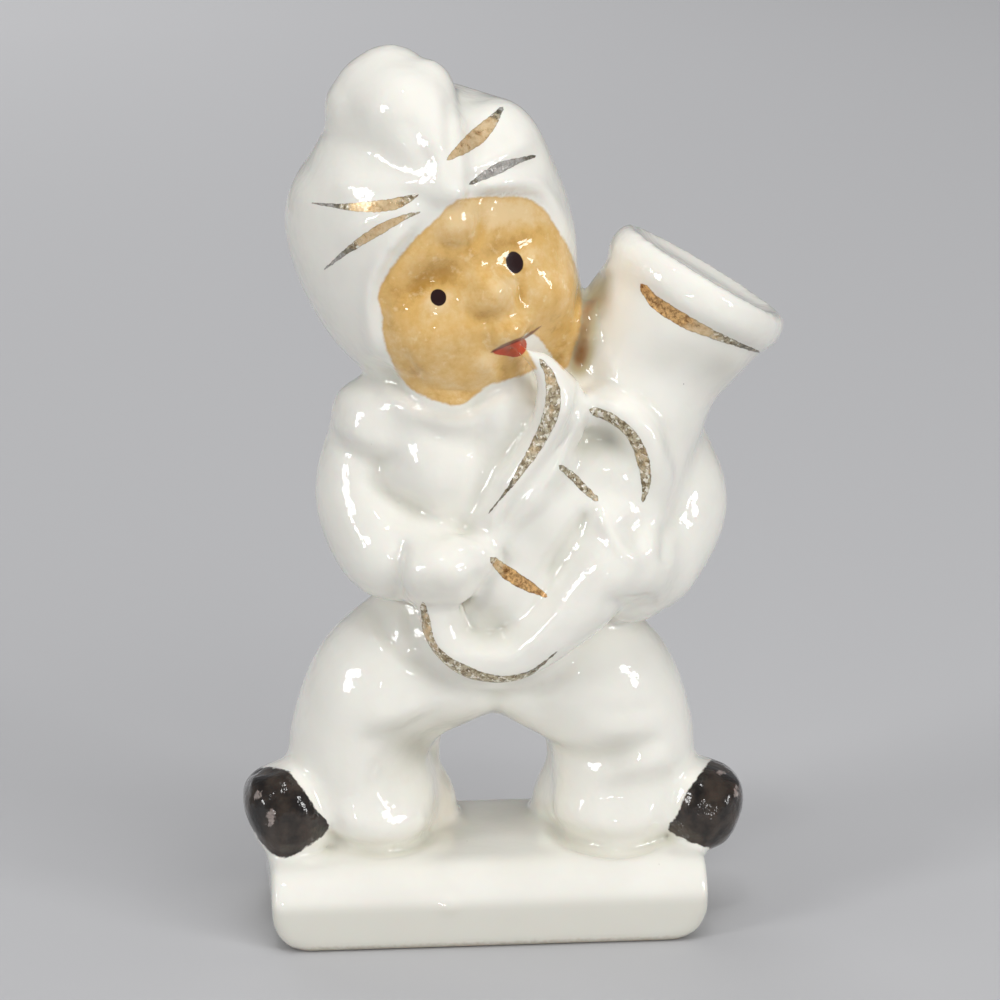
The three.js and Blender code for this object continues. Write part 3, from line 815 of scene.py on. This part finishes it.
# Painted shade: greyer white in the hollows and under forms, where the glaze also lies thicker
PAINTED_GREY_SHADE = [
    (0.5, (604, 450), (24, 24)),
    (1.0, (418, 748), (36, 20), -24),
    (0.3, (470, 722), (40, 8)),
    (0.4, (436, 584), (30, 14)),
    (0.4, (445, 417), (36, 9)),
    (0.5, (482, 622), (26, 20)),
    (0.5, (722, 368), (24, 18)),
    (0.3, (680, 352), (40, 20), 22),
    (0.25, (532, 530), (18, 34), 40),
    (0.35, (620, 750), (22, 24)),
]
# Lighter grey patches on the shoes' black
PALE_PATCHES = [
    (1.0, (259, 794), (7, 12), -25),
    (1.0, (270, 818), (8, 16), -20),
    (0.9, (722, 772), (12, 7), 20),
    (0.9, (737, 792), (7, 14)),
]


def brushed(place, far, front, strokes):
    """For each place, its nearest stroke: signed way across it, half width there and wear there."""
    best, half = (np.full(len(place), FAR_OUT) for _ in range(2))
    across, worn = (np.zeros(len(place)) for _ in range(2))
    for wear, points, widths in strokes:
        line = smooth_line(points)
        near = close_to(place, line, 30)
        near = near[front[near] > IN_VIEW]
        t, off = along_line(place[near], line)
        length = np.hypot(*np.diff(line, axis=0).T).sum()
        wide = np.interp(t, np.linspace(0, 1, len(widths)), widths) / 2
        wide -= np.maximum(np.maximum(-t, t - 1), 0) * length
        # the stroke lies on one surface: nothing behind it is painted
        stops = np.linspace(0, 1, 9)
        under = [np.median(far[near][(np.abs(t - s) < 0.1) & (np.abs(off) < 6)]) for s in stops]
        reached = far[near] < np.interp(t, stops, under) + 1.2
        better = (wide - np.abs(off) > best[near]) & reached
        near, t, off, wide = near[better], t[better], off[better], wide[better]
        best[near] = wide - np.abs(off)
        across[near], half[near] = off, wide
        worn[near] = np.interp(t, np.linspace(0, 1, len(wear)), wear)
    half[best < -6] = FAR_OUT
    return across * PIXEL, half * PIXEL, worn


def keep(name, values):
    """Stores a number for each vertex, which a material reads."""
    kept = figurine.data.attributes.new(name, "FLOAT", "POINT")
    kept.data.foreach_set("value", values.astype(np.float32))


def hollowness(skin, passes):
    """How deep each vertex lies under the skin's own smoothed shape, in mm."""
    deep = ((skin.mean(skin.co, passes) - skin.co) * skin.normal).sum(1)
    return skin.mean(deep, 4)


def paint(skin):
    """Keeps what the material reads: distances to the paint's edges in mm, and strengths of stains, of
    painted shade and light, and of a painted reflection.
    """
    place, far, front = shown(skin)
    for coat, strokes in (("first", GOLD[::2]), ("second", GOLD[1::2])):
        across, half, worn = brushed(place, far, front, [stroke[1:] for stroke in strokes])
        keep(coat + " gold across", across)
        keep(coat + " gold half", half)
        keep(coat + " gold wear", worn)
    across, half, _ = brushed(place, far, front, [([0], *MOUTH_LINE)])
    keep("line across", across)
    keep("line half", half)
    lips = inside_by(place, MOUTH)
    keep("lips", np.where(front > IN_VIEW, lips, FAR_OUT) * PIXEL)
    tan = np.minimum(inside_by(place, SKIN), -inside_by(place, MOUTHPIECE)) * PIXEL
    # the tan also ends where the head turns away
    keep("tan", np.minimum(tan, (skin.normal @ BACK + 0.15) * 5))
    keep("tan pool, shade and light", dabbed(place, TAN_POOLS_SHADE_AND_LIGHT))
    shoes = np.maximum(*(inside_by(place, shoe) for shoe in SHOES)) * PIXEL
    heels = [1 - np.linalg.norm((skin.co - at) / radii, ord=3, axis=1) for at, radii in HEELS]
    heels = np.maximum(*heels) * 5
    seen_well = soft_step(front, 0.0, 0.25)
    keep("black", shoes * seen_well + heels * (1 - seen_well))
    for side, (middle, (wide, high), lean) in zip(("left", "right"), EYES):
        across, up = leant(place, middle, lean)
        across, up = across / wide, up / high
        away = np.maximum(np.hypot(across, up), TINY)
        pull = np.where((away > 3) | (front < 0.1), 3 / away, 1)
        keep(side + " eye across", across * pull)
        keep(side + " eye up", up * pull)
    # strengths of the horn's painted reflection of the face, of the shoes' pale patches and of the
    # painted shadows
    for name, dabs in (("face reflected on the horn", FACE_REFLECTION_ON_HORN), ("pale_patches", PALE_PATCHES), ("shade", SHADES)):
        keep(name, dabbed(place, dabs) * (front > 0))
    # strengths of the painted grey shade
    keep("grey", dabbed(place, PAINTED_GREY_SHADE) * front)
    # painted shade: the lower front of the base, under 3.1 to 4.3 mm, is darker
    _, y, z = skin.co.T
    low, forward = soft_step(-z, -4.3, -3.1), soft_step(-y, 4.0, 9.0)
    keep("painted shade on base front", low * forward * 0.8)
    # depth in the small hollows, for the painted shade there and for the thicker glaze and tan
    keep("hollow", hollowness(skin, 12))
    # depth in the wide hollows, for the painted shade there
    keep("wide hollow", hollowness(skin, 77))


paint(skin)


# Finish


def srgb(red, green, blue):
    """A colour as it looks, each part from 11 to 255, made linear."""
    return (*(((c / 255 + 0.055) / 1.055) ** 2.4 for c in (red, green, blue)), 1)


class Recipe:
    """Builds a material's nodes, one call for each."""

    def __init__(self, name):
        self.material = bpy.data.materials.new(name)
        self.material.use_nodes = True
        self.nodes = self.material.node_tree.nodes
        self.links = self.material.node_tree.links
        self.shader = self.nodes["Principled BSDF"].inputs
        self.place = self.nodes.new("ShaderNodeTexCoord").outputs["Object"]

    def set(self, socket, value):
        if hasattr(value, "is_output"):
            self.links.new(value, socket)
        else:
            socket.default_value = value

    def kept(self, name):
        node = self.nodes.new("ShaderNodeAttribute")
        node.attribute_name = name
        return node.outputs["Fac"]

    def math(self, operation, a, b=0.0, clamp=False):
        node = self.nodes.new("ShaderNodeMath")
        node.operation = operation
        node.use_clamp = clamp
        for socket, value in zip(node.inputs, (a, b)):
            self.set(socket, value)
        return node.outputs[0]

    def times(self, a, b, clamp=False):
        return self.math("MULTIPLY", a, b, clamp)

    def plus(self, a, b):
        return self.math("ADD", a, b)

    def minus(self, a, b):
        return self.math("SUBTRACT", a, b)

    def step(self, value, low, high, start=0.0, end=1.0):
        """A soft step from start to end as the value goes from low to high."""
        node = self.nodes.new("ShaderNodeMapRange")
        node.interpolation_type = "SMOOTHSTEP"
        for socket, given in zip(node.inputs, (value, low, high, start, end)):
            self.set(socket, given)
        return node.outputs["Result"]

    def texture(self, kind, output, size, **inputs):
        """A texture in the figure's own space, whose features have a size in millimetres."""
        node = self.nodes.new("ShaderNodeTex" + kind)
        self.links.new(self.place, node.inputs["Vector"])
        node.inputs["Scale"].default_value = 1 / (size * MM)
        for name, value in inputs.items():
            node.inputs[name].default_value = value
        return node.outputs[output]

    def noise(self, size, detail=2.0, rough=0.5, warp=0.0):
        """Cloudy noise from 0 to 1."""
        return self.texture("Noise", "Fac", size, Detail=detail, Roughness=rough, Distortion=warp)

    def to_cell(self, size):
        """How far away the middle of the nearest cell is, in cells."""
        return self.texture("Voronoi", "Distance", size)

    def mix(self, share, first, second, kind="RGBA"):
        """A colour between two."""
        node = self.nodes.new("ShaderNodeMix")
        node.data_type = kind
        for name, value in (("Factor", share), ("A", first), ("B", second)):
            self.set(node.inputs[name], value)
        return node.outputs["Result"]

    def blend(self, share, first, second):
        """A number between two."""
        return self.mix(share, first, second, "FLOAT")

    def toned(self, value, low, high, dark, light):
        """A colour from dark to light as the value goes from low to high."""
        return self.mix(self.step(value, low, high), srgb(*dark), srgb(*light))

    def bump(self, height, depth, under=None):
        """Relief of a depth in millimetres."""
        node = self.nodes.new("ShaderNodeBump")
        self.set(node.inputs["Height"], height)
        node.inputs["Distance"].default_value = depth * MM
        if under is not None:
            self.links.new(under, node.inputs["Normal"])
        return node.outputs["Normal"]


def glazed_porcelain():
    r = Recipe("glazed porcelain")
    ragged = r.times(r.minus(r.noise(0.45, 3), 0.5), 0.5)

    def frayed(value, amount):
        """A distance to an edge, with the raggedness of a brush."""
        return r.plus(value, r.times(ragged, amount))

    hollow = r.step(r.kept("hollow"), 0.0, 0.42)
    clouds = r.noise(6.0, 3)

    # White glaze, warmer and greener in the small hollows, partly where it lies thick and partly as
    # painted shade
    white = r.toned(clouds, 0.35, 0.7, (245, 243, 234), (240, 238, 229))
    white = r.mix(r.times(hollow, 0.70), white, srgb(212, 207, 186))
    # painted shade: darker, greyer white in the wide hollows
    white = r.mix(r.step(r.kept("wide hollow"), 0.1, 1.2, 0.0, 0.55), white, srgb(196, 193, 179))
    # painted shade on the lower front of the base
    white = r.mix(r.kept("painted shade on base front"), white, srgb(212, 210, 199))
    # painted reflection of the tan face on the horn's flank, darker brown as painted shade where cheek
    # and horn meet
    flank = r.times(r.kept("face reflected on the horn"), r.step(r.noise(2.4, 2), 0.2, 0.7, 0.7, 1.1), clamp=True)
    white = r.mix(r.step(flank, 0.0, 0.55), white, srgb(196, 184, 150))
    white = r.mix(r.step(flank, 0.45, 1.0), white, srgb(160, 110, 58))
    # painted shadow in the brim's groove and behind the left hem
    white = r.mix(r.times(r.kept("shade"), 0.6, clamp=True), white, srgb(170, 144, 104))
    # painted shade: greyer white in the hollows and under forms
    white = r.mix(r.times(r.kept("grey"), 0.6, clamp=True), white, srgb(160, 157, 142))
    near = r.step(r.to_cell(4.2), 0.012, 0.030, 1.0, 0.0)
    few = r.step(r.math("FRACT", r.times(r.noise(3.0), 37.0)), 0.80, 0.82)
    white = r.mix(r.times(near, few), white, srgb(92, 84, 76))

    # Tan face
    mottle = r.noise(1.1, 6, 0.68)
    # tan darker where paint gathered and as painted shade in the sockets and creases, lighter as painted
    # light on the lit bumps
    pool = r.plus(r.kept("tan pool, shade and light"), r.times(r.minus(mottle, 0.5), 1.5))
    # darker tan in the small hollows: partly thicker paint, partly painted shade
    pool = r.plus(pool, r.times(hollow, 0.5))
    tan = r.toned(pool, -0.5, 0.25, (236, 206, 154), (225, 183, 110))
    tan = r.mix(r.step(pool, 0.15, 1.1), tan, srgb(188, 142, 66))
    patches = r.step(r.noise(4.0, 2), 0.40, 0.60, 0.10, 0.55)
    patches = r.times(patches, r.step(r.kept("tan pool, shade and light"), -0.4, 0.05))
    freckles = r.times(r.step(r.noise(1.1, 4, 0.6), 0.50, 0.72), patches)
    tan = r.mix(freckles, tan, srgb(196, 150, 78))
    thin = r.times(r.step(r.noise(0.9, 4, 0.6), 0.56, 0.72), 0.45)
    tan = r.mix(thin, tan, srgb(246, 222, 178))
    tan_edge = frayed(r.kept("tan"), 0.6)
    rim = r.times(r.step(tan_edge, 0.0, 0.35, 1.0, 0.0), 0.45)
    tan = r.mix(rim, tan, srgb(204, 158, 88))
    colour = r.mix(r.step(tan_edge, -0.10, 0.16), white, tan)

    # Red mouth under a dark line
    lips = r.step(frayed(r.kept("lips"), 0.15), -0.03, 0.06)
    red = r.mix(r.noise(0.6), srgb(205, 92, 58), srgb(176, 62, 34))
    colour = r.mix(lips, colour, red)
    line = r.minus(r.kept("line half"), r.math("ABSOLUTE", r.kept("line across")))
    line = r.step(frayed(line, 0.2), -0.06, 0.08)
    colour = r.mix(r.times(line, 0.85), colour, srgb(104, 40, 26))

    # Dotted eyes
    for side in ("left", "right"):
        across, up = r.kept(side + " eye across"), r.kept(side + " eye up")
        away = r.math("SQRT", r.plus(r.times(across, across), r.times(up, up)))
        eye = r.step(frayed(away, 0.25), 0.93, 1.05, 1.0, 0.0)
        colour = r.mix(eye, colour, srgb(38, 17, 16))

    # Black shoes
    black = r.step(frayed(r.kept("black"), 0.7), -0.05, 0.08)
    tar = r.toned(r.noise(1.6, 3), 0.3, 0.7, (24, 20, 18), (66, 56, 48))
    # lighter grey patches on the black
    pale_patches = r.step(r.times(r.kept("pale_patches"), r.noise(0.9, 3, 0.6, 0.6)), 0.36, 0.44)
    tar = r.mix(pale_patches, tar, r.mix(r.noise(0.5, 2), srgb(96, 84, 78), srgb(178, 166, 160)))
    colour = r.mix(black, colour, tar)

    # Worn gold strokes
    first, second = (
        r.minus(r.kept(coat + " gold half"), r.math("ABSOLUTE", r.kept(coat + " gold across")))
        for coat in ("first", "second")
    )
    edge = frayed(r.math("MAXIMUM", first, second), 0.45)
    on_second = r.math("GREATER_THAN", second, first)
    wear = r.blend(on_second, r.kept("first gold wear"), r.kept("second gold wear"))
    gold_share = r.step(edge, -0.02, 0.05)
    grain = r.noise(0.40, 4, 0.65, 0.4)
    sparks = r.step(r.noise(0.32, 3), 0.54, 0.60)
    wear = r.plus(wear, r.times(r.minus(r.noise(0.6, 3), 0.5), 0.6))
    rich = r.toned(grain, 0.35, 0.65, (150, 106, 62), (240, 196, 132))
    pale = r.toned(grain, 0.30, 0.70, (212, 182, 136), (232, 206, 166))
    mottled = r.toned(grain, 0.38, 0.60, (126, 110, 82), (204, 192, 164))
    # near-white sparks on the mottled gold: painted glints, partly gold flaked off to the white beneath
    mottled = r.mix(sparks, mottled, srgb(246, 240, 226))
    dark = r.toned(grain, 0.35, 0.65, (98, 92, 76), (152, 146, 128))
    silver = r.toned(grain, 0.35, 0.65, (164, 160, 154), (196, 192, 186))
    gilt = rich
    tones = ((0.10, 0.32, pale), (0.45, 0.70, mottled), (0.88, 1.02, dark), (1.15, 1.30, silver))
    for low, high, tone in tones:
        gilt = r.mix(r.step(wear, low, high), gilt, tone)
    gilt = r.mix(r.step(edge, 0.02, 0.10, 0.45, 0.0), gilt, srgb(98, 84, 62))
    colour = r.mix(gold_share, colour, gilt)

    # Bare, dusty foot
    split = r.nodes.new("ShaderNodeSeparateXYZ")
    r.links.new(r.place, split.inputs[0])
    height = split.outputs["Z"]
    low = r.step(frayed(height, MM), 0.1 * MM, 0.7 * MM, 1.0, 0.0)
    colour = r.mix(r.times(low, 0.55), colour, srgb(150, 134, 112))

    # Fine unevenness of the glaze, lumps in the black and flecks in the gold
    lumpy = r.times(r.noise(1.3, 3, 0.6), r.times(black, 3.0))
    calm = r.step(height, 6.2 * MM, 8.5 * MM, 0.2, 1.0)
    waves = r.bump(r.plus(r.times(r.noise(1.6, 2), calm), lumpy), 0.05)
    ripples = r.times(r.noise(1.1, 1), calm)
    rugged = r.times(gold_share, r.step(wear, 0.4, 0.6, 0.15, 1.0))
    flecks = r.times(r.step(r.noise(0.25, 3), 0.3, 0.7), rugged)

    rough = r.blend(gold_share, r.step(clouds, 0.3, 0.7, 0.30, 0.38), r.step(grain, 0.3, 0.7, 0.26, 0.5))
    for name, value in (
        ("Base Color", colour),
        ("Metallic", r.times(gold_share, 0.38)),
        ("Roughness", r.blend(low, rough, 0.8)),
        ("Coat Weight", r.minus(1.0, r.math("MAXIMUM", r.times(gold_share, 0.5), low))),
        ("Coat Roughness", 0.03),
        ("Coat IOR", 1.5),
        ("Specular IOR Level", 0.15),
        ("Subsurface Weight", 0.12),
        ("Subsurface Scale", MM),
        ("Normal", r.bump(flecks, 0.05, waves)),
        ("Coat Normal", r.bump(flecks, 0.03, r.bump(ripples, 0.055, waves))),
    ):
        r.set(r.shader[name], value)
    return r.material


figurine.data.materials.append(glazed_porcelain())


# Stage, lights and camera


def placed(name, data, at, target=(0, 0, 0)):
    """A camera or a lamp at a place in metres, turned towards its target."""
    obj = linked(name, data)
    obj.location = at
    obj.rotation_euler = (Vector(target) - Vector(at)).to_track_quat("-Z", "Y").to_euler()
    return obj


def add_camera():
    camera = bpy.data.cameras.new("camera")
    camera.lens = LENS
    camera.sensor_width = SENSOR
    camera.clip_start = 0.01
    camera.clip_end = 10
    at = (VIEW_AT + Vector(BACK) * DISTANCE) * MM
    bpy.context.scene.camera = placed("camera", camera, at, VIEW_AT * MM)


def add_floor():
    bm = bmesh.new()
    bmesh.ops.create_grid(bm, x_segments=1, y_segments=1, size=2)
    floor = as_object(bm, "floor")
    paper = Recipe("floor paper")
    paper.set(paper.shader["Base Color"], (0.55, 0.55, 0.56, 1))
    paper.set(paper.shader["Roughness"], 0.8)
    floor.data.materials.append(paper.material)


def add_lamp(name, at, size, power):
    """A wide soft lamp that lights the glaze but isn't mirrored in it."""
    lamp = bpy.data.lights.new(name, "AREA")
    lamp.size = size
    lamp.energy = power
    placed(name, lamp, at, (0, 0, 0.035)).visible_glossy = False


def add_sun(name, azimuth, elevation, strength, angle):
    """A small far lamp that the glaze mirrors as a spot."""
    lamp = bpy.data.lights.new(name, "SUN")
    lamp.energy = strength
    lamp.angle = math.radians(angle)
    placed(name, lamp, view_axes(azimuth, elevation)[0])


def add_lights():
    for azimuth, elevation in ((-64, 22), (-54, 24), (-59, 14)):
        add_sun("left lamp", azimuth, elevation, 0.30, 9)
    for azimuth, elevation in ((45, 22), (55, 18), (49, 10)):
        add_sun("right lamp", azimuth, elevation, 0.29, 9)
    add_sun("high lamp", -14, 64, 0.15, 6)
    add_sun("near lamp", -8, 6, 0.10, 4)
    add_lamp("overhead", (0.02, -0.06, 0.50), 0.36, 0.8)
    add_lamp("front", (0.22, -0.52, 0.38), 0.40, 1.2)
    add_lamp("back", (-0.16, 0.56, 0.34), 0.40, 1.1)
    world = bpy.data.worlds.new("studio")
    world.use_nodes = True
    world.node_tree.nodes["Background"].inputs["Color"].default_value = (0.17, 0.172, 0.18, 1)
    bpy.context.scene.world = world
    bpy.context.scene.view_settings.view_transform = "Standard"


add_camera()
add_floor()
add_lights()
